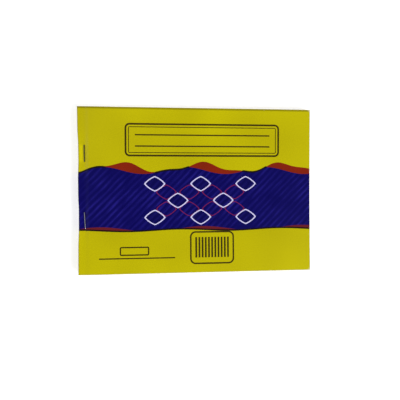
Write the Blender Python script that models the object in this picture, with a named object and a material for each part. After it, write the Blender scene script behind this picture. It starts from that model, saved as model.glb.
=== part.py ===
"""Carbonless duplicate book in landscape format, stapled through its left margin.

The closed book lies flat on its back cover. X runs along its long side with the
stapled edge at -X, Y runs along its short side, and Z points up through the front
cover. The origin is the centre of the footprint, on the surface it lies on.
Lengths are in metres.
"""

import math

import bmesh
import bpy
from mathutils import Matrix, Vector

# Sheet format, A5 laid sideways
BOOK_WIDTH = 0.210
BOOK_HEIGHT = 0.148

# Paper and card
SET_COUNT = 25
LEAF_THICKNESS = 0.000075
COVER_CARD = 0.0003
SHIELD_CARD = 0.00025
AIR_GAP = 0.000025

# Binding margin: spine edge, staple line, crease, perforation
STAPLE_INSET = 0.006
CREASE_BEYOND_STAPLE = 0.004
STUB_WIDTH = 0.009
SPINE_FOLD_RADIUS = 0.0007
CREASE_GAP = 0.0003
PERFORATION_GAP = 0.0001

# Hinge lines lie this far outside the faces of the covers
FOLD_RADIUS = 0.0004

# Staples
STAPLE_WIRE = 0.0006
STAPLE_CROWN = 0.015
STAPLE_TAIL = 0.005
STAPLE_BEND_RADIUS = 0.0005
STAPLE_SPACING = 0.059
STAPLES_ABOVE_MIDDLE = 0.0034
STAPLE_SEAT = 0.00003
LEG_CLEARANCE = 0.0001

# The loose card stops this far short of the leaves' free edges
SHIELD_MARGIN = 0.002

# Curve resolution
FOLD_STEPS = 6
PINCH_STEPS = 8
BEND_STEPS = 4
WIRE_BEVEL_RESOLUTION = 2
HOLE_SIDES = 16

# Lines along X
SPINE_X = -BOOK_WIDTH / 2
FREE_EDGE_X = BOOK_WIDTH / 2
STAPLE_X = SPINE_X + STAPLE_INSET
CREASE_X = STAPLE_X + CREASE_BEYOND_STAPLE
PERFORATION_X = CREASE_X + STUB_WIDTH
BOUND_END_X = CREASE_X - CREASE_GAP / 2
PANEL_START_X = CREASE_X + CREASE_GAP / 2

# Levels along Z
LEAF_COUNT = 2 * SET_COUNT
LEAF_PITCH = LEAF_THICKNESS + AIR_GAP
SHIELD_Z = COVER_CARD + AIR_GAP
PAD_Z = SHIELD_Z + SHIELD_CARD + AIR_GAP
PAD_TOP_Z = PAD_Z + LEAF_COUNT * LEAF_PITCH - AIR_GAP
FRONT_COVER_Z = PAD_TOP_Z + AIR_GAP
TOP_Z = FRONT_COVER_Z + COVER_CARD

# The staples squeeze the margin until they lie flush with both covers
PINCH = STAPLE_WIRE + STAPLE_SEAT

FRONT_HINGE = Vector((CREASE_X, 0, TOP_Z + FOLD_RADIUS))
BACK_HINGE = Vector((CREASE_X, 0, -FOLD_RADIUS))

BOOK_COLLECTION = "carbonless_duplicate_book"
CUTTER_COLLECTION = "cutters"


def clear_scene():
    for obj in list(bpy.data.objects):
        bpy.data.objects.remove(obj, do_unlink=True)


def new_collection(name):
    collection = bpy.data.collections.new(name)
    bpy.context.scene.collection.children.link(collection)
    return collection


def new_material(name, colour, roughness, metallic=0.0):
    """A Principled material; colour is linear RGB."""
    material = bpy.data.materials.new(name)
    material.use_nodes = True
    shader = material.node_tree.nodes["Principled BSDF"]
    shader.inputs["Base Color"].default_value = (*colour, 1.0)
    shader.inputs["Roughness"].default_value = roughness
    shader.inputs["Metallic"].default_value = metallic
    material.diffuse_color = (*colour, 1.0)
    return material


def new_object(name, data, material=None):
    obj = bpy.data.objects.new(name, data)
    bpy.data.collections[BOOK_COLLECTION].objects.link(obj)
    if material is not None:
        obj.data.materials.append(material)
    return obj


def new_pivot(name, place):
    """An empty on a hinge line, which carries whatever turns about it."""
    pivot = new_object(name, None)
    pivot.empty_display_size = 0.01
    pivot.location = place
    return pivot


def sheet(name, low, high, material, pivot=None):
    """A flat rectangular sheet between two corners, with its origin on its pivot or at its centre."""
    low = Vector(low)
    high = Vector(high)
    origin = pivot.location if pivot else (low + high) / 2
    size = Matrix.Diagonal((high - low).to_4d())
    place = Matrix.Translation((low + high) / 2 - origin)
    bm = bmesh.new()
    bmesh.ops.create_cube(bm, size=1, matrix=place @ size)
    mesh = bpy.data.meshes.new(name)
    bm.to_mesh(mesh)
    bm.free()
    obj = new_object(name, mesh, material)
    if pivot:
        obj.parent = pivot
    else:
        obj.location = origin
    return obj


def arc(centre, radius, start, end, steps):
    """Points on an arc, its two ends included; angles in degrees."""
    points = []
    for step in range(steps + 1):
        angle = math.radians(start + (end - start) * step / steps)
        points.append(centre + radius * Vector((math.cos(angle), math.sin(angle))))
    return points


def pinch_at(x):
    """How far each face of the margin is drawn in, easing out from the staples to the crease."""
    flat_until = STAPLE_X + STAPLE_WIRE
    reach = (x - flat_until) / (BOUND_END_X - flat_until)
    eased = min(max(reach, 0.0), 1.0)
    return PINCH * (1 - eased * eased * (3 - 2 * eased))


def margin_outline(inset):
    """The margin's section from the front crease, round the spine, to the back crease, drawn in by inset."""
    top_z = TOP_Z - inset
    left = SPINE_X + inset
    radius = SPINE_FOLD_RADIUS - inset / 2
    flat_until = STAPLE_X + STAPLE_WIRE
    slope = [
        BOUND_END_X + (flat_until - BOUND_END_X) * step / PINCH_STEPS
        for step in range(PINCH_STEPS + 1)
    ]
    upper = [Vector((x, top_z - pinch_at(x))) for x in slope]
    lower = [Vector((x, inset + pinch_at(x))) for x in reversed(slope)]
    upper_fold = Vector((left + radius, top_z - PINCH - radius))
    lower_fold = Vector((left + radius, inset + PINCH + radius))
    return [
        *upper,
        *arc(upper_fold, radius, 90, 180, FOLD_STEPS),
        *arc(lower_fold, radius, 180, 270, FOLD_STEPS),
        *lower,
    ]


def extruded_section(name, outline, material):
    """An XZ outline carried over the book's height, as a mesh that can be cut."""
    curve = bpy.data.curves.new(name, "CURVE")
    curve.dimensions = "2D"
    curve.fill_mode = "BOTH"
    curve.extrude = BOOK_HEIGHT / 2
    spline = curve.splines.new("POLY")
    spline.points.add(len(outline) - 1)
    for point, place in zip(spline.points, outline):
        point.co = (place.x, place.y, 0, 1)
    spline.use_cyclic_u = True
    guide = new_object(name + "_outline", curve)
    guide.rotation_euler.x = math.radians(90)
    bpy.context.view_layer.update()
    evaluated = guide.evaluated_get(bpy.context.evaluated_depsgraph_get())
    mesh = bpy.data.meshes.new_from_object(evaluated)
    bm = bmesh.new()
    bm.from_mesh(mesh)
    bmesh.ops.remove_doubles(bm, verts=bm.verts, dist=0.000001)
    bmesh.ops.recalc_face_normals(bm, faces=bm.faces)
    bm.to_mesh(mesh)
    bm.free()
    obj = new_object(name, mesh, material)
    obj.matrix_world = guide.matrix_world
    bpy.data.objects.remove(guide, do_unlink=True)
    return obj


def staple_places():
    """Each staple's name and the middle of its crown along Y."""
    return {
        "upper_staple": STAPLES_ABOVE_MIDDLE + STAPLE_SPACING / 2,
        "lower_staple": STAPLES_ABOVE_MIDDLE - STAPLE_SPACING / 2,
    }


def leg_reach():
    """From a staple's middle to the centreline of either leg."""
    return (STAPLE_CROWN - STAPLE_WIRE) / 2


def leg_hole_cutter():
    """Four round punches, one for each staple leg, right through the margin."""
    bm = bmesh.new()
    for middle in staple_places().values():
        for side in (-1, 1):
            place = Vector((STAPLE_X, middle + side * leg_reach(), TOP_Z / 2))
            bmesh.ops.create_cone(
                bm,
                cap_ends=True,
                segments=HOLE_SIDES,
                radius1=STAPLE_WIRE / 2 + LEG_CLEARANCE,
                radius2=STAPLE_WIRE / 2 + LEG_CLEARANCE,
                depth=2 * TOP_Z,
                matrix=Matrix.Translation(place),
            )
    mesh = bpy.data.meshes.new("staple_leg_cutter")
    bm.to_mesh(mesh)
    bm.free()
    cutter = bpy.data.objects.new("staple_leg_cutter", mesh)
    bpy.data.collections[CUTTER_COLLECTION].objects.link(cutter)
    cutter.hide_render = True
    cutter.display_type = "WIRE"
    return cutter


def cut_leg_holes(obj, cutter):
    holes = obj.modifiers.new("staple_leg_holes", "BOOLEAN")
    holes.operation = "DIFFERENCE"
    holes.solver = "EXACT"
    holes.object = cutter


def cover_spine(material, cutter):
    """The strip of cover card that wraps the bound edge, from crease to crease."""
    outside = margin_outline(0)
    inside = margin_outline(COVER_CARD)
    obj = extruded_section("cover_spine", outside + inside[::-1], material)
    cut_leg_holes(obj, cutter)
    return obj


def bound_margins(material, cutter):
    """The clamped strips of all the leaves, left of the crease."""
    outline = margin_outline(COVER_CARD + AIR_GAP)
    obj = extruded_section("bound_margins", outline, material)
    cut_leg_holes(obj, cutter)
    return obj


def staple_path():
    """The bent wire's centreline in its own YZ plane, from one tail's end to the other's."""
    high = TOP_Z - STAPLE_WIRE / 2
    low = STAPLE_WIRE / 2
    leg = leg_reach()
    radius = STAPLE_BEND_RADIUS
    tail_end = leg - STAPLE_TAIL
    corners = [
        (Vector((-leg + radius, low + radius)), 270, 180),
        (Vector((-leg + radius, high - radius)), 180, 90),
        (Vector((leg - radius, high - radius)), 90, 0),
        (Vector((leg - radius, low + radius)), 0, -90),
    ]
    path = [Vector((-tail_end, low))]
    for centre, start, end in corners:
        path.extend(arc(centre, radius, start, end, BEND_STEPS))
    path.append(Vector((tail_end, low)))
    return path


def staple(name, middle, material):
    """A wire staple: crown on the front, legs through the margin, tails clinched at the back."""
    curve = bpy.data.curves.new(name, "CURVE")
    curve.dimensions = "3D"
    curve.bevel_depth = STAPLE_WIRE / 2
    curve.bevel_resolution = WIRE_BEVEL_RESOLUTION
    curve.use_fill_caps = True
    path = staple_path()
    spline = curve.splines.new("POLY")
    spline.points.add(len(path) - 1)
    for point, place in zip(spline.points, path):
        point.co = (0, place.x, place.y, 1)
    spline.use_smooth = True
    obj = new_object(name, curve, material)
    obj.location = (STAPLE_X, middle, 0)
    return obj


def cover_panels(material, front_pivot, back_pivot):
    """The two panels of cover card that turn on the creases."""
    half = BOOK_HEIGHT / 2
    front_low = (PANEL_START_X, -half, FRONT_COVER_Z)
    front_high = (FREE_EDGE_X, half, TOP_Z)
    sheet("front_cover", front_low, front_high, material, front_pivot)
    back_low = (PANEL_START_X, -half, 0)
    back_high = (FREE_EDGE_X, half, COVER_CARD)
    sheet("back_cover", back_low, back_high, material, back_pivot)


def writing_shield(material):
    """The loose card between the last leaf and the back cover."""
    half = BOOK_HEIGHT / 2 - SHIELD_MARGIN
    low = (PANEL_START_X, -half, SHIELD_Z)
    high = (FREE_EDGE_X - SHIELD_MARGIN, half, SHIELD_Z + SHIELD_CARD)
    sheet("writing_shield", low, high, material)


def leaf(index):
    """A leaf's name and its two corners, counted from the top of the pad."""
    kind = "duplicate" if index % 2 else "original"
    name = f"{kind}_{index // 2 + 1:02d}"
    top = PAD_TOP_Z - index * LEAF_PITCH
    low = Vector((PANEL_START_X, -BOOK_HEIGHT / 2, top - LEAF_THICKNESS))
    high = Vector((FREE_EDGE_X, BOOK_HEIGHT / 2, top))
    return name, low, high


def leaves(original_material, duplicate_material, pivot):
    """Originals and copies in turn; the first original is parted at its perforation."""
    for index in range(LEAF_COUNT):
        name, low, high = leaf(index)
        material = duplicate_material if index % 2 else original_material
        if index > 0:
            sheet(name, low, high, material, pivot)
            continue
        stub_high = Vector((PERFORATION_X - PERFORATION_GAP / 2, high.y, high.z))
        tear_low = Vector((PERFORATION_X + PERFORATION_GAP / 2, low.y, low.z))
        sheet(name + "_stub", low, stub_high, material, pivot)
        sheet(name + "_sheet", tear_low, high, material, pivot)


def build():
    clear_scene()
    new_collection(BOOK_COLLECTION)
    new_collection(CUTTER_COLLECTION).hide_render = True

    cover_card = new_material("yellow_cover_card", (0.49, 0.44, 0.004), 0.45)
    original_paper = new_material("white_paper", (0.84, 0.84, 0.82), 0.8)
    duplicate_paper = new_material("canary_paper", (0.86, 0.76, 0.28), 0.8)
    shield_card = new_material("grey_card", (0.42, 0.38, 0.33), 0.85)
    staple_steel = new_material("staple_steel", (0.62, 0.62, 0.64), 0.3, 1.0)

    front_pivot = new_pivot("front_crease_axis", FRONT_HINGE)
    back_pivot = new_pivot("back_crease_axis", BACK_HINGE)
    cutter = leg_hole_cutter()

    cover_spine(cover_card, cutter)
    bound_margins(original_paper, cutter)
    for name, middle in staple_places().items():
        staple(name, middle, staple_steel)
    cover_panels(cover_card, front_pivot, back_pivot)
    writing_shield(shield_card)
    leaves(original_paper, duplicate_paper, front_pivot)


build()
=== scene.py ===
# %% [markdown]
# A carbonless duplicate book
#
# The book is a pad of fifty self-copying leaves, wrapped in one printed card cover and held by
# two wire staples through its left margin. It lies closed and flat, and the camera looks down
# on its front. The imported CAD model gives its main sizes, so the lesson starts by loading it.
# Each later cell adds a helper, a finish or a piece in that same frame.

# %% Load the frame
import math
import random

import bmesh
import bpy
import numpy as np
from mathutils import Matrix, Vector


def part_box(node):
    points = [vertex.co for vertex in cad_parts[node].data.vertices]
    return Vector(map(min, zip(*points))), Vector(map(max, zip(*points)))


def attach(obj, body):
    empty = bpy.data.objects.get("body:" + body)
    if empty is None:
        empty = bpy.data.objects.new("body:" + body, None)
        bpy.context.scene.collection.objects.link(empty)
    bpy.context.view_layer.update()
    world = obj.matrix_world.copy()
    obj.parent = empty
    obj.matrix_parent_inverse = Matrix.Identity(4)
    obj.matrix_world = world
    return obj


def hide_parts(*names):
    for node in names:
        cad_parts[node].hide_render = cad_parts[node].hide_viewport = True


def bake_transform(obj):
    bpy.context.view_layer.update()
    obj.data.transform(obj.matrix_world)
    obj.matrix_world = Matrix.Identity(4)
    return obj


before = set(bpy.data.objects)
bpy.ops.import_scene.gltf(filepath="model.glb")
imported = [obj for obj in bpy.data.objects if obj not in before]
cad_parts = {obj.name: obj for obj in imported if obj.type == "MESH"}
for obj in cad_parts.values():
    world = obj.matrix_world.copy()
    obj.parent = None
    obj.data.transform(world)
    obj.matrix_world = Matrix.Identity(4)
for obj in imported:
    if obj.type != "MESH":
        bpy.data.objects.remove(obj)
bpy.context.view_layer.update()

# %% [markdown]
# The main lines of the book are read from the CAD nodes instead of being typed again: the bound
# edge, the crease where the covers turn, the perforation, the levels of card and paper, and the
# middles of the two staples. If the CAD changes, the pieces below follow.

# %% Lines and levels of the book
MM = 0.001
STAPLE_ROOM = 0.03 * MM
front_low, front_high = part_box("front_cover")
spine_low, spine_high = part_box("cover_spine")
first_low, first_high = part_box("original_01_sheet")

SPINE_X = spine_low.x
CREASE_X = (spine_high.x + front_low.x) / 2
FREE_X = front_high.x
HALF_HEIGHT = front_high.y
TOP_Z = front_high.z
CARD = front_high.z - front_low.z
PAPER = first_high.z - first_low.z
PAD_TOP_Z = first_high.z
PAD_LOW_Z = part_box("duplicate_25")[0].z
TEAR_X = (first_low.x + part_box("original_01_stub")[1].x) / 2
STAPLES = ("upper_staple", "lower_staple")
staple_low, staple_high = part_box(STAPLES[0])
WIRE = staple_high.x - staple_low.x
CROWN = staple_high.y - staple_low.y
STAPLE_X = (staple_low.x + staple_high.x) / 2
STAPLE_MIDDLES = [sum(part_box(name), Vector()).y / 2 for name in STAPLES]
PINCH = WIRE + STAPLE_ROOM
print("crease", CREASE_X, "perforation", TEAR_X, "top", TOP_Z, "staple middles", STAPLE_MIDDLES)

# %% [markdown]
# The camera comes first, because it decides how large every detail shows. Its place, turn and
# lens were worked out from the four edges of the cover in the photograph. It hangs almost
# straight above the book, left of its middle, and leans a little to the right.

# %% Camera
camera_data = bpy.data.cameras.new("camera")
camera_data.lens = 36.63
camera_data.sensor_width = 36
camera = bpy.data.objects.new("camera", camera_data)
camera.location = (-0.0344, -0.0031, 0.3708)
camera.rotation_euler = [math.radians(angle) for angle in (-0.83, -5.80, -0.29)]
bpy.context.scene.collection.objects.link(camera)
bpy.context.scene.camera = camera
print("camera height in mm:", round(camera.location.z / MM))

# %% [markdown]
# Everything is lit as in a light tent. The sky is pale all round and dark only overhead, where
# the camera looks through, so the satin cover mirrors little and its dark blue stays deep. The
# photograph shows the side of the staple groove that faces right brighter than the other, so
# the stronger of two wide lamps stands at the front right. Together they light an upward face
# at about the level at which a colour renders as it is written.

# %% Colours and light
scene = bpy.context.scene
scene.view_settings.view_transform = "Standard"


def seen(red, green, blue):
    """A display colour, each part 0 to 255, as the linear colour that a shader takes."""
    parts = []
    for part in (red, green, blue):
        share = part / 255
        parts.append(share / 12.92 if share <= 0.04045 else ((share + 0.055) / 1.055) ** 2.4)
    return (*parts, 1.0)


def area_lamp(name, place, size, watts):
    """Adds a round area lamp at place that points at the book's middle."""
    lamp_data = bpy.data.lights.new(name, "AREA")
    lamp_data.shape = "DISK"
    lamp_data.size = size
    lamp_data.energy = watts
    lamp = bpy.data.objects.new(name, lamp_data)
    lamp.location = place
    lamp.rotation_euler = (-Vector(place)).to_track_quat("-Z", "Y").to_euler()
    bpy.context.scene.collection.objects.link(lamp)


area_lamp("right_lamp", (2.0, -1.3, 1.3), 1.5, 52)
area_lamp("left_lamp", (-0.80, 0.45, 0.85), 0.8, 3.5)

world = bpy.data.worlds.new("light_tent")
world.use_nodes = True
scene.world = world
sky = world.node_tree.nodes
sky_links = world.node_tree.links
direction = sky.new("ShaderNodeTexCoord")
direction_parts = sky.new("ShaderNodeSeparateXYZ")
sky_shade = sky.new("ShaderNodeValToRGB")
sky_shade.color_ramp.elements[0].position = 0.5
sky_shade.color_ramp.elements[0].color = (0.95, 0.95, 0.96, 1)
sky_shade.color_ramp.elements[1].position = 0.9
sky_shade.color_ramp.elements[1].color = (0.10, 0.10, 0.11, 1)
sky_links.new(direction.outputs["Generated"], direction_parts.inputs["Vector"])
sky_links.new(direction_parts.outputs["Z"], sky_shade.inputs["Fac"])
sky_links.new(sky_shade.outputs["Color"], sky["Background"].inputs["Color"])

backdrop = sky.new("ShaderNodeBackground")
backdrop.inputs["Color"].default_value = (1, 1, 1, 1)
sky_ray = sky.new("ShaderNodeLightPath")
either = sky.new("ShaderNodeMixShader")
sky_links.new(sky_ray.outputs["Is Camera Ray"], either.inputs[0])
sky_links.new(sky["Background"].outputs[0], either.inputs[1])
sky_links.new(backdrop.outputs[0], either.inputs[2])
sky_links.new(either.outputs[0], sky["World Output"].inputs["Surface"])

# %% [markdown]
# A finish is a network of shader nodes. Written by hand, even a simple formula takes a dozen
# lines, so two small classes stand between. Value wraps one output socket and turns +, -, *, /
# and ** into Math nodes. Finish owns a material and has the one method that adds any node.

# %% Two helpers for shader networks
class Value:
    """One output of a shader node, so that maths on it can be written as a formula."""

    def __init__(self, finish, socket):
        self.finish = finish
        self.socket = socket

    def maths(self, operation, *others):
        return self.finish.node("ShaderNodeMath", {"operation": operation}, [self, *others])

    def output(self, name):
        """Another output of the same node."""
        return Value(self.finish, self.socket.node.outputs[name])

    def __add__(self, other):
        return self.maths("ADD", other)

    def __sub__(self, other):
        return self.maths("SUBTRACT", other)

    def __rsub__(self, other):
        return (self * -1) + other

    def __mul__(self, other):
        return self.maths("MULTIPLY", other)

    def __truediv__(self, other):
        return self.maths("DIVIDE", other)

    def __pow__(self, other):
        return self.maths("POWER", other)

    __radd__ = __add__
    __rmul__ = __mul__


class Finish:
    """A material round one Principled shader. numbers are the sockets that are even all over."""

    def __init__(self, name, **numbers):
        self.material = bpy.data.materials.new(name)
        self.material.use_nodes = True
        self.tree = self.material.node_tree
        self.shader = self.tree.nodes["Principled BSDF"]
        for socket, number in numbers.items():
            self.set(socket.replace("_", " "), number)

    def feed(self, socket, given):
        if isinstance(given, Value):
            self.tree.links.new(given.socket, socket)
        else:
            socket.default_value = given

    def set(self, socket, given):
        self.feed(self.shader.inputs[socket], given)

    def node(self, kind, settings=None, sockets=None):
        """Adds a node and gives its first output. Its sockets are fed by name or by order."""
        made = self.tree.nodes.new(kind)
        for name, setting in (settings or {}).items():
            setattr(made, name, setting)
        pairs = sockets.items() if isinstance(sockets, dict) else enumerate(sockets or [])
        for key, given in pairs:
            self.feed(made.inputs[key], given)
        return Value(self, next(socket for socket in made.outputs if socket.enabled))

    def mix(self, share, under, over, how="MIX"):
        """under where share is 0 and over where it is 1, as colours."""
        settings = {"data_type": "RGBA", "blend_type": how}
        return self.node("ShaderNodeMix", settings, {0: share, 6: under, 7: over})

    def noise(self, place, scale, detail=2.0, roughness=0.5):
        sockets = {"Vector": place, "Scale": scale, "Detail": detail, "Roughness": roughness}
        return self.node("ShaderNodeTexNoise", {"noise_dimensions": "2D"}, sockets)

    def bump(self, height, depth, strength=1.0):
        """Lets height, from 0 to 1, stand out by depth in metres."""
        sockets = {"Height": height, "Distance": depth, "Strength": strength}
        self.set("Normal", self.node("ShaderNodeBump", {}, sockets))


print("shader helpers ready")

# %% [markdown]
# Card and paper bend at the crease, so their print has to bend along. Every sheet therefore
# carries a UV map that says where each point lay on the flat sheet, before it was folded or
# pinched. One window, wider than the opened cover, serves all sheets. Inside a finish, the map
# turns back into millimetres, so all patterns below are drawn in millimetres on the flat sheet.

# %% Flat places on a sheet
FLAT_MAP = "flat_place"
WINDOW_LOW = Vector((-0.335, -0.080))
WINDOW_SIZE = Vector((0.450, 0.160))


def flat_millimetres(finish):
    """Places on the flat sheet as (vector, across, up), in millimetres from the book's middle."""
    place = finish.node("ShaderNodeUVMap", {"uv_map": FLAT_MAP})
    size = (WINDOW_SIZE.x / MM, WINDOW_SIZE.y / MM, 0)
    low = (WINDOW_LOW.x / MM, WINDOW_LOW.y / MM, 0)
    settings = {"operation": "MULTIPLY_ADD"}
    flat = finish.node("ShaderNodeVectorMath", settings, [place, size, low])
    across = finish.node("ShaderNodeSeparateXYZ", {}, [flat])
    return flat, across, across.output("Y")


def rises(distance, soft=0.12):
    """0 where distance is negative and 1 where it is positive, over a soft step."""
    sockets = {"Value": distance, "From Min": -soft / 2, "From Max": soft / 2}
    settings = {"interpolation_type": "SMOOTHSTEP"}
    return distance.finish.node("ShaderNodeMapRange", settings, sockets)


def line(distance, width, soft=0.12):
    """1 on a line of that width along distance 0."""
    return 1 - rises(distance.maths("ABSOLUTE") - width / 2, soft)


def between(value, low, high):
    """1 from low to high and 0 outside."""
    return rises(value - low) * rises(high - value)


def most(first, *others):
    """The largest of several values at each point."""
    for other in others:
        first = first.maths("MAXIMUM", other)
    return first


def box_distance(across, up, middle, half, corner):
    """Millimetres outside a box with round corners, and negative inside it."""
    side = (across - middle[0]).maths("ABSOLUTE") - (half[0] - corner)
    end = (up - middle[1]).maths("ABSOLUTE") - (half[1] - corner)
    outside = (most(side, 0) ** 2 + most(end, 0) ** 2).maths("SQRT")
    return outside + most(side, end).maths("MINIMUM", 0) - corner


def wave(across, middle, size, length, shift):
    """A wavy line's height above the book's middle, in millimetres."""
    return (across * (2 * math.pi / length) + shift).maths("SINE") * size + middle


print("window in mm:", WINDOW_SIZE / MM)

# %% [markdown]
# The cover print is a yellow ground with one dark blue band across it, set off by dark red waves
# and thin dark lines, and fine slanting strokes run through the blue. The print could be a
# picture, but drawn from formulas it stays sharp at any distance. The waves, the staggered
# diamonds, the empty writing label and the even stripes are this lesson's own generic design,
# in the colours and at the scale of such a cover.

# %% Cover print: ground and band
LEAST_LOW_RED = 0.3

cover_print = Finish("printed_cover_card", Specular_IOR_Level=0.15)
flat, across, up = flat_millimetres(cover_print)

cloud = cover_print.noise(flat, 0.016, 1.0)
yellow = cover_print.mix(cloud * 1.5 - 0.25, seen(200, 190, 0), seen(182, 171, 1))

red_top = wave(across, middle=20.6, size=4.0, length=74, shift=1.1)
red_top = red_top + wave(across, middle=0, size=1.3, length=33, shift=0.4)
blue_top = wave(across, middle=18.0, size=3.2, length=74, shift=2.5).maths("MINIMUM", red_top)
red_low = wave(across, middle=-35.4, size=0.9, length=92, shift=2.6)
blue_low = wave(across, middle=-34.3, size=2.2, length=92, shift=1.2)
blue_low = most(blue_low, red_low + LEAST_LOW_RED)

in_band = between(up, red_low, red_top)
in_blue = between(up, blue_low, blue_top)
in_low_red = rises(blue_low - up)

red_cloud = cover_print.noise(flat, 0.045, 1.0)
warm_red = cover_print.mix(red_cloud, seen(120, 32, 10), seen(146, 36, 8))
red = cover_print.mix(in_low_red, warm_red, seen(104, 28, 36))
print("band nodes:", len(cover_print.tree.nodes))

# %% [markdown]
# The strokes in the blue slant up to the right, about 4.4 mm apart, and look hand drawn: some
# are bright, some fade out. A sine wave across the slope gives their rhythm, and raised to a
# power it leaves thin bright strokes on dark. A noise that is stretched along the slope breaks
# them up, and a wide one lets them fade in whole patches.

# %% Cover print: slanting strokes
STROKE_PITCH = 4.4
STROKE_POWER = 1.7
BREAKS_ACROSS = 0.55
BREAKS_ALONG = 0.06

down_slope = (across - up) * math.sqrt(0.5)
along_slope = (across + up) * math.sqrt(0.5)
rhythm = (down_slope * (2 * math.pi / STROKE_PITCH)).maths("SINE") * 0.5 + 0.5
stretched_parts = [down_slope * BREAKS_ACROSS, along_slope * BREAKS_ALONG, 0.0]
stretched = cover_print.node("ShaderNodeCombineXYZ", {}, stretched_parts)
broken = cover_print.noise(stretched, 1.0, 3.0, 0.6)
patches = cover_print.noise(flat, 0.035, 1.0)
loud = most(broken * 1.9 - 0.45, 0) * most(patches * 2.4 - 0.5, 0.15)
strokes = rhythm**STROKE_POWER * loud + broken * 0.2 - 0.05
blue = cover_print.mix(strokes, seen(3, 0, 82), seen(34, 28, 130))
inks = cover_print.mix(in_band, yellow, red)
inks = cover_print.mix(in_blue * in_band, inks, blue)
print("stroke pitch in mm:", STROKE_PITCH)

# %% [markdown]
# Staggered diamonds stand in the band: thin dull red ones behind, bold white ones in front. One
# cell of a grid holds one diamond. The distance from the cell's middle, with its two parts
# raised to a power a little above one, draws a diamond with round corners, and a line is printed
# along its edge. The white ones take every other cell and are a little darker inside. The red
# grid is moved on by half a cell, so that the two kinds interlock.

# %% Cover print: staggered diamonds
CELL = (20.6, 15.0)
GRID_LOW = (-48.0, -31.4)
WHITE_CELLS = (5, 3)
RED_CELLS = (4, 2)
HALF_CELL = 1.06
DIAMOND_REACH = 0.9
DIAMOND_POWER = 1.25
DIAMOND_SOFT = 0.03


def diamonds(low, cells, width):
    """A grid of diamonds that starts at low, as (outline, inside, 1 in every other cell)."""
    column = (across - low[0]) / CELL[0]
    row = (up - low[1]) / CELL[1]
    side = (column.maths("FRACT") - 0.5).maths("ABSOLUTE") * (2 * HALF_CELL)
    rise = (row.maths("FRACT") - 0.5).maths("ABSOLUTE") * (2 * HALF_CELL)
    from_middle = (side**DIAMOND_POWER + rise**DIAMOND_POWER) ** (1 / DIAMOND_POWER)
    outside = from_middle - DIAMOND_REACH
    in_grid = between(column, 0, cells[0]) * between(row, 0, cells[1])
    outline = line(outside, width, DIAMOND_SOFT) * in_grid
    inside = (1 - rises(outside, DIAMOND_SOFT)) * in_grid
    other_cell = (column.maths("FLOOR") + row.maths("FLOOR")).maths("MODULO", 2)
    return outline, inside, other_cell


red_low_corner = (GRID_LOW[0] + CELL[0] / 2, GRID_LOW[1] + CELL[1] / 2)
red_outline = diamonds(red_low_corner, RED_CELLS, 0.09)[0]
inks = cover_print.mix(red_outline * 0.8, inks, seen(140, 34, 66))
white_outline, white_inside, other_cell = diamonds(GRID_LOW, WHITE_CELLS, 0.14)
white_cell = 1 - other_cell
inks = cover_print.mix(white_inside * white_cell * 0.3, inks, seen(6, 4, 50))
inks = cover_print.mix(white_outline * white_cell, inks, seen(216, 212, 246))
white_count = math.ceil(WHITE_CELLS[0] * WHITE_CELLS[1] / 2)
print("white diamonds:", white_count, "red diamonds:", RED_CELLS[0] * RED_CELLS[1])

# %% [markdown]
# Dark brown line work finishes the print: thin keylines where two colours meet, an empty label
# to write on above the band, and below it a small empty box, one rule and a framed field of
# even stripes.

# %% Cover print: line work
KEYLINE_SOFT = 0.4
LABEL_MIDDLE = (6.0, 45.2)
LABEL_HALF = (69.2, 14.0)
INNER_FRAME = 2.6
RULE_LEVELS = (49.6, 39.6)
RULE_ENDS = (-55.0, 67.0)
LOW_RULE_LEVEL = -60.2
LOW_RULE_ENDS = (-87.0, -20.0)
SMALL_BOX_MIDDLE = (-56.0, -53.8)
SMALL_BOX_HALF = (12.4, 3.4)
FIELD_MIDDLE = (13.6, -51.6)
FIELD_HALF = (19.4, 14.2)
STRIPE_COUNT = 11
STRIPE_PITCH = 2.9
STRIPE_WIDTH = 1.6
STRIPE_ENDS = (-60.5, -42.0)

narrow_red = 1 - rises(red_top - blue_top - 0.7, 0.8)
top_key = line(up - blue_top, 1.6, KEYLINE_SOFT) * narrow_red
low_key = line(up - red_low - 0.2, 1.4, KEYLINE_SOFT)
inks = cover_print.mix(most(top_key, low_key) * 0.97, inks, seen(16, 6, 10))

label = box_distance(across, up, LABEL_MIDDLE, LABEL_HALF, 3.5)
small_box = box_distance(across, up, SMALL_BOX_MIDDLE, SMALL_BOX_HALF, 1.0)
field = box_distance(across, up, FIELD_MIDDLE, FIELD_HALF, 4.4)
frames = [line(label, 1.6), line(label + INNER_FRAME, 0.7), line(small_box, 1.2), line(field, 1.4)]
rules = [line(up - level, 1.2) * between(across, *RULE_ENDS) for level in RULE_LEVELS]
rules.append(line(up - LOW_RULE_LEVEL, 1.1) * between(across, *LOW_RULE_ENDS))

stripe_turn = ((across - FIELD_MIDDLE[0]) / STRIPE_PITCH + 0.5).maths("FRACT") - 0.5
beside_stripe = stripe_turn.maths("ABSOLUTE") * STRIPE_PITCH - STRIPE_WIDTH / 2
half_run = STRIPE_COUNT * STRIPE_PITCH / 2
in_run = between(across, FIELD_MIDDLE[0] - half_run, FIELD_MIDDLE[0] + half_run)
stripes = (1 - rises(beside_stripe)) * in_run * between(up, *STRIPE_ENDS)
inks = cover_print.mix(most(*frames, *rules, stripes) * 0.94, inks, seen(34, 18, 10))
print("print nodes so far:", len(cover_print.tree.nodes))
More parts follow.
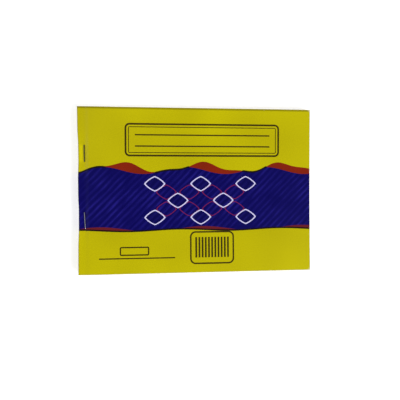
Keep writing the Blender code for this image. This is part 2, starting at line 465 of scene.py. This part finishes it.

# %% [markdown]
# Use leaves marks on card, and some light and shade are painted into the print as well. Painted
# shade darkens a fine rim along the guillotined edges, more along the top edge, and a line along
# the fold at the spine. The corners are rubbed paler and the fold at the spine is a little cracked.
# Each crown has a dark line of painted shade along it, and its two legs stand in small dark holes.
# Between crown and spine a painted highlight brightens the ink. The satin surface shows faint
# paper fibres and is rougher where it is rubbed. Roughness and bump come from the same values as
# the colour.

# %% Cover print: wear, painted shade and highlight, and surface
LEG_HOLE = 0.45
CROWN_SHADE_WIDTH = 0.9
HIGHLIGHT_FROM_SPINE = 2.9
HIGHLIGHT_HALF = (1.4, 7.2)

from_spine = across - SPINE_X / MM
from_free = FREE_X / MM - across
from_end = HALF_HEIGHT / MM - up.maths("ABSOLUTE")
from_edge = from_free.maths("MINIMUM", from_end)
# Painted shade: a dark rim along the cut edges, deepest along the top edge, and a line along the
# fold at the spine.
painted_edge_shade = (1 - rises(from_edge - 0.35, 0.4)) * 0.3
painted_top_edge_shade = (1 - rises(HALF_HEIGHT / MM - up - 1.7, 0.9)) * 0.48
painted_fold_shade = line(from_spine + 0.1, 1.1, 0.6) * 0.4
inks = cover_print.mix(most(painted_edge_shade, painted_top_edge_shade, painted_fold_shade), inks, seen(52, 48, 10))

fibres = cover_print.noise(flat, 2.6, 4.0, 0.65)
from_corner = (from_free**2 + from_end**2).maths("SQRT")
rubbed_corner = (1 - rises(from_corner + fibres * 3.0 - 3.4, 1.6)) * 0.6
cracked_fold = line(from_spine + 0.9, 1.2, 0.6) * rises(fibres - 0.56, 0.1) * 0.2
rubbed = most(rubbed_corner, cracked_fold)
inks = cover_print.mix(rubbed, inks, seen(214, 206, 150))

# Along each crown a dark line of painted shade, and a small dark hole at each leg.
from_crown = across - STAPLE_X / MM
crown_shade_and_leg_holes = []
painted_highlights = []
for middle in STAPLE_MIDDLES:
    low = (middle - CROWN / 2) / MM
    high = (middle + CROWN / 2) / MM
    crown_shade_and_leg_holes.append(line(from_crown, CROWN_SHADE_WIDTH, 0.3) * between(up, low, high) * 0.7)
    for leg_up in (low + WIRE / 2 / MM, high - WIRE / 2 / MM):
        from_leg = (from_crown**2 + (up - leg_up) ** 2).maths("SQRT")
        crown_shade_and_leg_holes.append(1 - rises(from_leg - LEG_HOLE, 0.3))
    # A painted highlight brightens the card between the crown and the spine.
    highlight_distance = box_distance(from_spine, up, (HIGHLIGHT_FROM_SPINE, middle / MM), HIGHLIGHT_HALF, 1.4)
    painted_highlights.append(1 - rises(highlight_distance, 4.0))
inks = cover_print.mix(most(*crown_shade_and_leg_holes) * 0.8, inks, seen(24, 20, 12))

speckle = cover_print.noise(flat, 1.1, 3.0)
# The speckle is random tone; the painted highlight beside the staples is multiplied in on top.
speckle_and_highlight = speckle * 0.3 + sum(painted_highlights) * 0.3 + 0.85
shade = cover_print.node("ShaderNodeCombineColor", {}, [speckle_and_highlight] * 3)
cover_print.set("Base Color", cover_print.mix(1.0, inks, shade, "MULTIPLY"))
cover_print.set("Roughness", fibres * 0.1 + rubbed * 0.3 + 0.30)
cover_print.bump(fibres * 0.5 + cloud * 0.5, 0.00003, 0.35)
print("cover print nodes:", len(cover_print.tree.nodes))

# %% [markdown]
# The card itself shows in two other places. Its inside is unprinted, greyish white and matt,
# with small fibre flecks. Its cut edge is a little browner and shows strands of pressed fibres.

# %% Plain card inside and cut edge
inner_card = Finish("unprinted_card", Specular_IOR_Level=0.2)
inner_flat = flat_millimetres(inner_card)[0]
inner_fibres = inner_card.noise(inner_flat, 1.8, 4.0, 0.65)
flecks = rises(inner_card.noise(inner_flat, 0.9, 5.0, 0.8) - 0.68, 0.05)
inner_tone = inner_card.mix(inner_fibres, seen(205, 202, 192), seen(232, 230, 222))
inner_card.set("Base Color", inner_card.mix(flecks * 0.35, inner_tone, seen(140, 128, 108)))
inner_card.set("Roughness", inner_fibres * 0.12 + 0.74)
inner_card.bump(inner_fibres, 0.00004, 0.4)

cut_card = Finish("cut_card_edge", Specular_IOR_Level=0.2)
strands = cut_card.noise(flat_millimetres(cut_card)[0], 3.5, 4.0, 0.7)
cut_card.set("Base Color", cut_card.mix(strands, seen(176, 168, 146), seen(226, 220, 202)))
cut_card.set("Roughness", strands * 0.1 + 0.82)
print("card finishes:", inner_card.material.name, cut_card.material.name)

# %% [markdown]
# All sheets share one way of lying. At the staples they are squeezed together, and the squeeze
# eases out towards the crease and, more slowly, along the spine, where the pad springs up again.
# The staples also draw the bound edge in a little. On the flat part the pile settles by a few
# tenths of a millimetre, unevenly. Because the same functions place every sheet, by its level in
# the pile, neighbours can't cross.

# %% How the pile lies
LOOSE_SHARE = 0.4
SPINE_RISE = 0.85
RELAX_LENGTH = 15 * MM
STAPLE_DRAW = 0.45 * MM
SPINE_BOW = 0.4 * MM
BOW_MIDDLE = 3 * MM
BOW_REACH = 72 * MM
FREE_HOLLOW = 0.35 * MM
MOST_SETTLED = 0.28 * MM
SETTLING_REACH = 45 * MM
LEAF_AIR = 0.025 * MM


def smooth(value):
    """A soft step that is 0 up to value 0 and 1 from value 1 on."""
    value = min(max(value, 0.0), 1.0)
    return value * value * (3 - 2 * value)


def staple_pull(y):
    """1 beside a crown, easing to 0 beyond its ends."""
    beyond = [abs(y - middle) - CROWN / 2 for middle in STAPLE_MIDDLES]
    return 1 - smooth(min(beyond) / RELAX_LENGTH)


def bound_edge(y):
    """Where the spine stands in X: drawn in at the staples, full size at the two ends."""
    bow = SPINE_BOW * math.cos(math.pi / 2 * min(1.0, abs(y - BOW_MIDDLE) / BOW_REACH))
    return SPINE_X + bow + STAPLE_DRAW * staple_pull(y)


def trimmed_edge(y):
    """Where the free edge stands in X: cut very slightly hollow."""
    return FREE_X - FREE_HOLLOW * (1 - (y / HALF_HEIGHT) ** 2)


def squeeze(x, y):
    """The share of the full pinch at a point of the margin: a groove along the staple line."""
    past = abs(x - STAPLE_X) - WIRE
    if x > STAPLE_X:
        along = 1 - smooth(past / (CREASE_X - STAPLE_X - WIRE))
    else:
        along = 1 - SPINE_RISE * smooth(past / (STAPLE_X - SPINE_X - WIRE))
    return along * (LOOSE_SHARE + (1 - LOOSE_SHARE) * staple_pull(y))


def settled(x, y):
    """How far the top of the pile has sunk, in two long crossing waves, on the flat part only."""
    ripple = math.sin(21 * x + 13 * y + 0.6) * math.sin(17 * y - 9 * x + 1.1)
    away = smooth((x - CREASE_X) / SETTLING_REACH)
    return MOST_SETTLED * away * (0.5 + 0.5 * ripple)


LEVELS = (0, CARD, PAD_LOW_Z, PAD_TOP_Z, TOP_Z)
MARGIN_INSET = CARD + LEAF_AIR
DROPS = (PINCH, PINCH, MARGIN_INSET + PINCH - PAD_LOW_Z, -PINCH, -PINCH)


def lie(z, x, y):
    """The height at (x, y) of a sheet that lies at z where nothing pinches or settles it."""
    pinched = z + squeeze(x, y) * float(np.interp(z, LEVELS, DROPS))
    return pinched - settled(x, y) * z / TOP_Z


print("bound edge at the upper staple, mm:", round(bound_edge(STAPLE_MIDDLES[0]) / MM, 2))

# %% [markdown]
# A sheet starts as a flat grid from bmesh. Each column of the grid is one station along the
# sheet and each row one station up the book, and every grid point is carried to the place that
# a profile function gives for it. The flat place is kept on the point, so that it lasts through
# the solidify step, and becomes the UV map at the end. The columns stand close together beside
# the crease, where the sheet has to bend, and wide apart on the flat part.

# %% Sheet maker
ROWS = 56
BEND_REACH = 3.0 * MM
BEND_STEPS = 12
PANEL_STEPS = 14
SHARP_ANGLE = 0.7


def stops(start, end, steps):
    """Evenly spaced stations from start to end, both included."""
    return [start + (end - start) * step / steps for step in range(steps + 1)]


def panel_stops(end):
    """Stations from the crease to the free edge: dense in the bend, wide on the panel."""
    bend = stops(CREASE_X, CREASE_X + BEND_REACH, BEND_STEPS)
    return bend + stops(CREASE_X + BEND_REACH, end, PANEL_STEPS)[1:]


def add_piece(name, bm, finishes):
    """Makes the bmesh an object at the origin, smooth except at sharp edges."""
    bm.normal_update()
    for face in bm.faces:
        face.smooth = True
    for edge in bm.edges:
        edge.smooth = edge.is_manifold and edge.calc_face_angle() < SHARP_ANGLE
    mesh = bpy.data.meshes.new(name)
    bm.to_mesh(mesh)
    bm.free()
    piece = bpy.data.objects.new(name, mesh)
    bpy.context.scene.collection.objects.link(piece)
    for finish in finishes:
        mesh.materials.append(finish.material)
    return piece


def make_sheet(name, profile, flat_across, thickness, finishes, slip=0):
    """profile(y) gives the outer face as (x, z) points; finishes are outer, inner and edge.

    Without a finish of its own the edge takes the inner one. slip is how far the sheet lies off
    the middle, up the book.
    """
    bm = bmesh.new()
    columns = len(flat_across) - 1
    bmesh.ops.create_grid(bm, x_segments=columns, y_segments=ROWS, size=1)
    flat_layer = bm.verts.layers.float_vector.new("flat")
    profiles = {}
    for vert in bm.verts:
        column = round((vert.co.x + 1) / 2 * columns)
        y = vert.co.y * HALF_HEIGHT
        if y not in profiles:
            profiles[y] = profile(y)
        x, z = profiles[y][column]
        vert[flat_layer] = (flat_across[column], y, 0)
        vert.co = (x, y + slip, z)
    bm.normal_update()
    outer = bm.faces[:]
    inner = bmesh.ops.solidify(bm, geom=outer, thickness=thickness)["geom"]
    inner = {face for face in inner if isinstance(face, bmesh.types.BMFace)}
    outer = set(outer)
    uv_layer = bm.loops.layers.uv.new(FLAT_MAP)
    for face in bm.faces:
        face.material_index = 0 if face in outer else 1 if face in inner else len(finishes) - 1
        for loop in face.loops:
            flat_point = loop.vert[flat_layer].xy - WINDOW_LOW
            loop[uv_layer].uv = (flat_point.x / WINDOW_SIZE.x, flat_point.y / WINDOW_SIZE.y)
    return add_piece(name, bm, finishes)


print("stations on a panel:", len(panel_stops(FREE_X)))

# %% [markdown]
# The cover is one piece of card on the real book, wrapped from the front round the spine to the
# back. Its front half is modelled as one sheet as well: back strip, round fold, spine wall,
# round fold, pinched front strip, crease and front panel. So nothing shows at the crease while
# the book is closed, as on the real one.

# %% Front cover, spine and back strip
FOLD_RADIUS = 0.7 * MM
STRIP_STEPS = 8
FOLD_STEPS = 6
WALL_STEPS = 3


def fold_arc(centre, start, end):
    """Points round a fold, its ends left out; angles in degrees."""
    angles = stops(start, end, FOLD_STEPS)[1:-1]
    turned = [Vector((math.cos(math.radians(a)), math.sin(math.radians(a)))) for a in angles]
    return [centre + FOLD_RADIUS * point for point in turned]


def cover_profile(y):
    """Outer face of the card from the back crease, round the spine, to the front free edge."""
    inner_x = bound_edge(y) + FOLD_RADIUS
    low_z = lie(0, inner_x, y)
    high_z = lie(TOP_Z, inner_x, y)
    strip = stops(CREASE_X, inner_x, STRIP_STEPS)
    left_x = inner_x - FOLD_RADIUS
    wall = stops(low_z + FOLD_RADIUS, high_z - FOLD_RADIUS, WALL_STEPS)
    return [
        *[Vector((x, lie(0, x, y))) for x in strip],
        *fold_arc(Vector((inner_x, low_z + FOLD_RADIUS)), 270, 180),
        *[Vector((left_x, z)) for z in wall],
        *fold_arc(Vector((inner_x, high_z - FOLD_RADIUS)), 180, 90),
        *[Vector((x, lie(TOP_Z, x, y))) for x in reversed(strip)],
        *[Vector((x, lie(TOP_Z, x, y))) for x in panel_stops(trimmed_edge(y))[1:]],
    ]


relaxed = cover_profile(-HALF_HEIGHT)
lengths = [(after - before).length for before, after in zip(relaxed, relaxed[1:])]
cover_flat = [FREE_X - sum(lengths[index:]) for index in range(len(relaxed))]
BACK_CREASE_FLAT = cover_flat[0]

front_cover = make_sheet(
    "front_cover_card", cover_profile, cover_flat, CARD, [cover_print, inner_card, cut_card]
)
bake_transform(front_cover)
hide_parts("front_cover", "cover_spine")
print("front cover faces:", len(front_cover.data.polygons), "back crease at", BACK_CREASE_FLAT)

# %% [markdown]
# The back panel goes on where the back strip ends, edge to edge, in the same card and print. Its
# outer face points down, so its profile runs from the free edge in to the crease.

# %% Back cover
def back_profile(y):
    """Outer face of the back panel, from the free edge in to the crease."""
    return [Vector((x, lie(0, x, y))) for x in reversed(panel_stops(trimmed_edge(y)))]


back_flat = [BACK_CREASE_FLAT - (x - CREASE_X) for x in reversed(panel_stops(FREE_X))]
back_cover = make_sheet(
    "back_cover_card", back_profile, back_flat, CARD, [cover_print, inner_card, cut_card]
)
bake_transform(back_cover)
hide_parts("back_cover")
print("back cover faces:", len(back_cover.data.polygons))

# %% [markdown]
# Each leaf is a form to fill in, drawn in plain lines: a heading block with a date box, a ruled
# table with a tinted head, a totals box and a line to sign on. Originals are white and
# duplicates canary yellow, with the same lines. Both are perforated nine millimetres from the
# crease, in short cuts with ties between.

# %% Leaf finishes
FORM_BOXES = {
    "table": ((9.0, -9.5), (86.0, 36.5)),
    "heading": ((-22.0, 50.5), (55.0, 17.5)),
    "date": ((67.0, 50.5), (28.0, 17.5)),
    "totals": ((72.5, -58.0), (22.5, 9.0)),
}
FORM_CORNER = 2.0
FRAME_WIDTH = 0.5
COLUMN_WIDTH = 0.4
RULE_WIDTH = 0.35
TABLE_SIDES = (-77.0, 95.0)
TABLE_LOW = -46.0
HEAD_LOW = 19.0
HEAD_HIGH = 27.0
ROW_HEIGHT = 6.5
ROW_LINE_SHARE = 0.05
COLUMN_PLACES = (-60.0, 50.0, 73.0)
HEADING_LEVELS = (58.5, 50.5, 42.5)
HEADING_ENDS = (-71.0, 27.0)
DATE_LEVEL = 50.5
DATE_ENDS = (39.0, 95.0)
DATE_PLACES = (57.7, 76.3)
DATE_LOW = 33.0
SIGN_LEVEL = -62.0
SIGN_ENDS = (-70.0, 0.0)
CUT_PITCH = 1.5
CUT_LENGTH = 1.0
CUT_WIDTH = 0.18
FORM_INK = seen(62, 78, 148)
WHITE = (seen(240, 240, 236), seen(226, 226, 222))
CANARY = (seen(240, 222, 134), seen(228, 208, 116))


def form_lines(across, up):
    """The lines of the form and its tinted places, as two values from 0 to 1."""
    boxes = {
        name: box_distance(across, up, middle, half, FORM_CORNER)
        for name, (middle, half) in FORM_BOXES.items()
    }
    lines = [line(box, FRAME_WIDTH) for box in boxes.values()]
    in_table = between(across, *TABLE_SIDES)
    row_turn = ((up - TABLE_LOW) / ROW_HEIGHT).maths("FRACT") - 0.5
    row_line = rises(row_turn.maths("ABSOLUTE") - (0.5 - ROW_LINE_SHARE / 2), 0.02)
    lines.append(row_line * in_table * between(up, TABLE_LOW, HEAD_LOW))
    for place in COLUMN_PLACES:
        lines.append(line(across - place, COLUMN_WIDTH) * between(up, TABLE_LOW, HEAD_HIGH))
    for level in HEADING_LEVELS:
        lines.append(line(up - level, RULE_WIDTH) * between(across, *HEADING_ENDS))
    for place in DATE_PLACES:
        lines.append(line(across - place, RULE_WIDTH) * between(up, DATE_LOW, DATE_LEVEL))
    lines.append(line(up - DATE_LEVEL, RULE_WIDTH) * between(across, *DATE_ENDS))
    lines.append(line(up - SIGN_LEVEL, RULE_WIDTH) * between(across, *SIGN_ENDS))
    head_tint = in_table * between(up, HEAD_LOW, HEAD_HIGH) * 0.3
    totals_tint = (1 - rises(boxes["totals"])) * 0.12
    return most(*lines), most(head_tint, totals_tint)


def leaf_finish(name, pale, deep, ruled):
    """Paper between two near colours, with its perforation and, where ruled, the form."""
    finish = Finish(name, Specular_IOR_Level=0.15)
    flat, across, up = flat_millimetres(finish)
    fibres = finish.noise(flat, 2.2, 4.0, 0.65)
    cloud = finish.noise(flat, 0.05, 2.0)
    colour = finish.mix(fibres * 0.6 + cloud * 0.4, deep, pale)
    if ruled:
        lines, tint = form_lines(across, up)
        colour = finish.mix(tint, colour, FORM_INK)
        colour = finish.mix(lines * 0.75, colour, FORM_INK)
    cut_turn = (up / CUT_PITCH).maths("FRACT") - 0.5
    past_cut = cut_turn.maths("ABSOLUTE") * CUT_PITCH - CUT_LENGTH / 2
    cuts = line(across - TEAR_X / MM, CUT_WIDTH, 0.08) * (1 - rises(past_cut, 0.1))
    colour = finish.mix(cuts * 0.55, colour, seen(110, 106, 96))
    finish.set("Base Color", colour)
    finish.set("Roughness", fibres * 0.1 + 0.78)
    finish.bump(fibres * 0.4 - cuts + 1.0, 0.00003, 0.4)
    return finish


white_form = leaf_finish("white_form_paper", *WHITE, True)
white_back = leaf_finish("white_paper_back", *WHITE, False)
canary_form = leaf_finish("canary_form_paper", *CANARY, True)
canary_back = leaf_finish("canary_paper_back", *CANARY, False)
print("form nodes:", len(white_form.tree.nodes))

# %% [markdown]
# The pad has fifty leaves, and each is its own thin sheet that runs from the bound edge through
# the pinched margin to the free edge. They could be one block with a striped side, but then the
# book could not open. No stack is cut dead true, so each leaf is shifted by a few hundredths of
# a millimetre both ways, and the pad's edges show their layers. The first original is parted at
# its perforation: the stub stays bound, and the sheet beyond it tears off, so that one rides on
# its own body and needs no blend.

# %% Fifty leaves
SETS = 25
STUB = "original_01_stub"
TORN_SHEET = "original_01_sheet"
TEAR_GAP = first_low.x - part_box(STUB)[1].x
MARGIN_STEPS = 7
SPINE_ROOM = 0.1 * MM
MOST_SHIFT = 0.05 * MM
random.seed(50)


def leaf_names():
    """Leaf nodes from the top of the pad to the bottom, with the stub for the first one."""
    for number in range(1, SETS + 1):
        yield STUB if number == 1 else f"original_{number:02d}"
        yield f"duplicate_{number:02d}"


def make_leaf(name, node, end, shift, slip):
    """A leaf from the bound edge to end, which gives the far edge at a height y."""
    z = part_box(node)[1].z
    ruled, plain = (canary_form, canary_back) if "duplicate" in node else (white_form, white_back)

    def leaf_profile(y):
        start = bound_edge(y) + MARGIN_INSET + SPINE_ROOM + shift
        margin = stops(start, CREASE_X, MARGIN_STEPS)
        across_all = margin + panel_stops(end(y) + shift)[1:]
        return [Vector((x, lie(z, x, y))) for x in across_all]

    flat_across = stops(SPINE_X, CREASE_X, MARGIN_STEPS) + panel_stops(end(HALF_HEIGHT))[1:]
    return make_sheet(name, leaf_profile, flat_across, PAPER, [ruled, plain], slip)


def stub_end(y):
    return TEAR_X - TEAR_GAP / 2


def leaf_end(y):
    return trimmed_edge(y) - MOST_SHIFT


for node in leaf_names():
    shift = 0 if node == STUB else random.uniform(-MOST_SHIFT, MOST_SHIFT)
    slip = 0 if node == STUB else random.uniform(-MOST_SHIFT, MOST_SHIFT)
    leaf = make_leaf("leaf_" + node, node, stub_end if node == STUB else leaf_end, shift, slip)
    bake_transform(leaf)
    if node == STUB:
        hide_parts(node, "bound_margins")
    else:
        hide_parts(node)


def torn_profile(y):
    """Outer face of the torn sheet, from the perforation to the free edge."""
    top_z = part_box(TORN_SHEET)[1].z
    across_all = stops(TEAR_X + TEAR_GAP / 2, leaf_end(y), PANEL_STEPS)
    return [Vector((x, lie(top_z, x, y))) for x in across_all]


torn_flat = stops(TEAR_X + TEAR_GAP / 2, leaf_end(HALF_HEIGHT), PANEL_STEPS)
torn_finishes = [white_form, white_back]
torn_sheet = make_sheet("leaf_" + TORN_SHEET, torn_profile, torn_flat, PAPER, torn_finishes)
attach(torn_sheet, TORN_SHEET)
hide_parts(TORN_SHEET)

# %% [markdown]
# The writing shield is a loose card between the last leaf and the back cover. It goes behind the
# set in use, so that the pen does not mark the next one. It is grey board made of waste paper,
# with dark and pale flecks pressed into it, cut with round corners.

# %% Writing shield
SHIELD_CORNER = 4 * MM
SHIELD_RIM = 0.05 * MM
RIM_ANGLE = 1.0

shield_finish = Finish("grey_board", Specular_IOR_Level=0.2)
board_place = shield_finish.node("ShaderNodeTexCoord").output("Object")
pulp = shield_finish.noise(board_place, 900, 5.0, 0.7)
board_cloud = shield_finish.noise(board_place, 60, 2.0)
board_share = board_cloud * 0.5 + pulp * 0.5
board = shield_finish.mix(board_share, seen(148, 142, 130), seen(190, 184, 172))
dark_fleck = rises(shield_finish.noise(board_place, 420, 6.0, 0.85) - 0.66, 0.03)
pale_fleck = rises(shield_finish.noise(board_place, 510, 6.0, 0.8) * -1 + 0.34, 0.03)
board = shield_finish.mix(dark_fleck * 0.6, board, seen(84, 80, 78))
board = shield_finish.mix(pale_fleck * 0.5, board, seen(222, 216, 204))
shield_finish.set("Base Color", board)
shield_finish.set("Roughness", pulp * 0.12 + 0.76)
shield_finish.bump(pulp, 0.00004, 0.5)

shield_low, shield_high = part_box("writing_shield")
shield_size = shield_high - shield_low
shield_middle = (shield_low + shield_high) / 2
bm = bmesh.new()
bmesh.ops.create_grid(bm, x_segments=1, y_segments=1, size=0.5)
bmesh.ops.scale(bm, vec=shield_size, verts=bm.verts)
bmesh.ops.translate(bm, vec=(shield_middle.x, shield_middle.y, shield_high.z), verts=bm.verts)
bmesh.ops.bevel(
    bm,
    geom=bm.verts[:],
    offset=SHIELD_CORNER,
    offset_type="OFFSET",
    segments=8,
    profile=0.5,
    affect="VERTICES",
    material=-1,
)
bmesh.ops.solidify(bm, geom=bm.faces[:], thickness=shield_size.z)
rim_edges = [e for e in bm.edges if e.is_manifold and e.calc_face_angle() > RIM_ANGLE]
bmesh.ops.bevel(
    bm,
    geom=rim_edges,
    offset=SHIELD_RIM,
    offset_type="OFFSET",
    segments=2,
    profile=0.5,
    affect="EDGES",
    material=-1,
)
shield = add_piece("writing_shield_card", bm, [shield_finish])
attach(shield, "writing_shield")
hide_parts("writing_shield")
print("shield faces:", len(shield.data.polygons))

# %% [markdown]
# The staples are steel wire with fine drawing marks along it. The upper staple's steel is darker,
# as painted shade, and the lower one's brighter, as a painted reflection, blended along the book.

# %% Staple steel
MARKS_STRETCH = (9000, 300, 9000)

steel = Finish("steel_wire", Metallic=1.0)
wire_place = steel.node("ShaderNodeTexCoord").output("Object")
stretch = steel.node("ShaderNodeVectorMath", {"operation": "MULTIPLY"}, [wire_place, MARKS_STRETCH])
drawing_marks = steel.noise(stretch, 1.0, 3.0)
tarnish = steel.noise(wire_place, 700, 3.0)
# Painted shade on the upper staple and a painted reflection on the lower one: the same steel made
# darker and brighter.
shaded_steel = steel.mix(tarnish, seen(54, 52, 54), seen(92, 90, 92))
lit_steel = steel.mix(tarnish, seen(148, 147, 156), seen(200, 199, 208))
wire_up = steel.node("ShaderNodeSeparateXYZ", {}, [wire_place]).output("Y")
lit_share = 0.5 - wire_up / (STAPLE_MIDDLES[0] - STAPLE_MIDDLES[1])
steel.set("Base Color", steel.mix(lit_share, shaded_steel, lit_steel))
steel.set("Roughness", drawing_marks * 0.18 + 0.22)
steel.bump(drawing_marks, 0.00001, 0.4)
print("steel nodes:", len(steel.tree.nodes))

# %% [markdown]
# A staple is made as it is bent. A ring as wide as the wire is drawn out along the tail and spun
# round each corner, up a leg, along the crown, down again and back under. Both staples lean a
# little, the lower one more.

# %% Staples
WIRE_SIDES = 16
WIRE_BEND_STEPS = 6
BEND_RADIUS = 0.5 * MM
TAIL = 5.0 * MM
LEANS = {"upper_staple": 0.8, "lower_staple": 3.2}


def drawn_out(bm, ring, step):
    """Pulls the wire's end ring on by step and gives the new ring."""
    made = bmesh.ops.extrude_edge_only(bm, edges=ring)["geom"]
    moved = [item for item in made if isinstance(item, bmesh.types.BMVert)]
    bmesh.ops.translate(bm, vec=step, verts=moved)
    return [item for item in made if isinstance(item, bmesh.types.BMEdge)]


def bent(bm, ring, centre):
    """Spins the wire's end ring a quarter turn about X through centre and gives the new ring."""
    made = bmesh.ops.spin(
        bm,
        geom=ring,
        cent=centre,
        axis=(1, 0, 0),
        angle=math.radians(-90),
        steps=WIRE_BEND_STEPS,
        use_duplicate=False,
    )["geom_last"]
    return [item for item in made if isinstance(item, bmesh.types.BMEdge)]


def make_staple(node):
    """Bends a staple with its crown along Y, then leans it and moves it to its place."""
    low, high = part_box(node)
    leg_y = (high.y - low.y - WIRE) / 2
    low_z = low.z + WIRE / 2
    high_z = high.z - WIRE / 2
    bend_y = leg_y - BEND_RADIUS
    low_bend_z = low_z + BEND_RADIUS
    high_bend_z = high_z - BEND_RADIUS
    tail_step = (0, BEND_RADIUS - TAIL, 0)
    steps_and_bends = (
        (tail_step, (0, -bend_y, low_bend_z)),
        ((0, 0, high_bend_z - low_bend_z), (0, -bend_y, high_bend_z)),
        ((0, 2 * bend_y, 0), (0, bend_y, high_bend_z)),
        ((0, 0, low_bend_z - high_bend_z), (0, bend_y, low_bend_z)),
    )
    bm = bmesh.new()
    start = Matrix.Translation((0, -leg_y + TAIL, low_z)) @ Matrix.Rotation(math.pi / 2, 4, "X")
    bmesh.ops.create_circle(bm, cap_ends=False, segments=WIRE_SIDES, radius=WIRE / 2, matrix=start)
    ring = bm.edges[:]
    for step, bend_centre in steps_and_bends:
        ring = drawn_out(bm, ring, step)
        ring = bent(bm, ring, bend_centre)
    drawn_out(bm, ring, tail_step)
    bmesh.ops.remove_doubles(bm, verts=bm.verts, dist=0.000001)
    bmesh.ops.holes_fill(bm, edges=bm.edges, sides=WIRE_SIDES)
    bmesh.ops.recalc_face_normals(bm, faces=bm.faces)
    lean = Matrix.Rotation(math.radians(LEANS[node]), 3, "Z")
    bmesh.ops.rotate(bm, cent=(0, 0, 0), matrix=lean, verts=bm.verts)
    middle = (low + high) / 2
    bmesh.ops.translate(bm, vec=(middle.x, middle.y, 0), verts=bm.verts)
    staple = add_piece(node + "_wire", bm, [steel])
    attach(staple, "binding")
    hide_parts(node)
    print(node, "faces:", len(staple.data.polygons))


for node in STAPLES:
    make_staple(node)

# %% [markdown]
# The floor is plain and white. Its colour alone stays a little under white in this soft light,
# so what the camera and reflections see of it is lifted by a faint glow, and the contact shadow
# of the book still darkens it. The glow grows with the distance, where the lamps reach less, and
# the floor runs into the white backdrop without an edge. The book rests on the upper sheet, which
# ends just left of the spine. A lower sheet runs on a small step below it, and left of the spine
# it falls away by about one degree, so that the back cover finds room when it is folded right
# round. The upper sheet throws no shadow, so the lower one stays as pale.

# %% Floor
FLOOR_REACH = 3.0
GLOW_START = 0.2
UPPER_Z = -0.02 * MM
LOWER_Z = -1.6 * MM
OVERHANG = 0.3 * MM
COVER_ROOM = 5 * MM
FALL_DEGREES = 1.05
FALL_END_X = 2 * CREASE_X - FREE_X - COVER_ROOM
FALL_END_Z = LOWER_Z - (SPINE_X - FALL_END_X) * math.tan(math.radians(FALL_DEGREES))

floor_finish = Finish("white_floor", Roughness=0.9, Specular_IOR_Level=0.1)
camera_ray = floor_finish.node("ShaderNodeLightPath")
mirror_ray = camera_ray.output("Is Glossy Ray") + camera_ray.output("Is Transmission Ray")
looked_at = (camera_ray + mirror_ray).maths("MINIMUM", 1)
floor_place = floor_finish.node("ShaderNodeTexCoord").output("Object")
distance = floor_finish.node("ShaderNodeVectorMath", {"operation": "LENGTH"}, [floor_place])
far_sockets = {"Value": distance, "From Min": GLOW_START}
far = floor_finish.node("ShaderNodeMapRange", {"interpolation_type": "SMOOTHSTEP"}, far_sockets)
lift = floor_finish.mix(far, (0.42, 0.42, 0.42, 1), (0.90, 0.90, 0.90, 1))
grain = floor_finish.noise(floor_place, 40)
plain_white = floor_finish.mix(grain, (0.86, 0.86, 0.86, 1), (0.88, 0.88, 0.88, 1))
floor_finish.set("Base Color", plain_white)
floor_finish.set("Emission Color", floor_finish.mix(looked_at, (0, 0, 0, 1), lift))
floor_finish.set("Emission Strength", 1.0)


def floor_sheet(name, stations):
    """A wide sheet of floor through stations (x, z), from left to right."""
    bm = bmesh.new()
    steps = len(stations) - 1
    bmesh.ops.create_grid(bm, x_segments=steps, y_segments=1, size=1)
    for vert in bm.verts:
        x, z = stations[round((vert.co.x + 1) / 2 * steps)]
        vert.co = (x, vert.co.y * FLOOR_REACH, z)
    sheet = add_piece(name, bm, [floor_finish])
    return sheet


upper_stations = [(SPINE_X - OVERHANG, UPPER_Z), (FLOOR_REACH, UPPER_Z)]
fall_stations = [(-FLOOR_REACH, FALL_END_Z), (FALL_END_X, FALL_END_Z), (SPINE_X, LOWER_Z)]
upper_floor = floor_sheet("upper_floor", upper_stations)
upper_floor.visible_shadow = False
floor_sheet("lower_floor", [*fall_stations, (FLOOR_REACH, LOWER_Z)])
print("floor levels in mm:", [round(z / MM, 2) for z in (UPPER_Z, LOWER_Z, FALL_END_Z)])
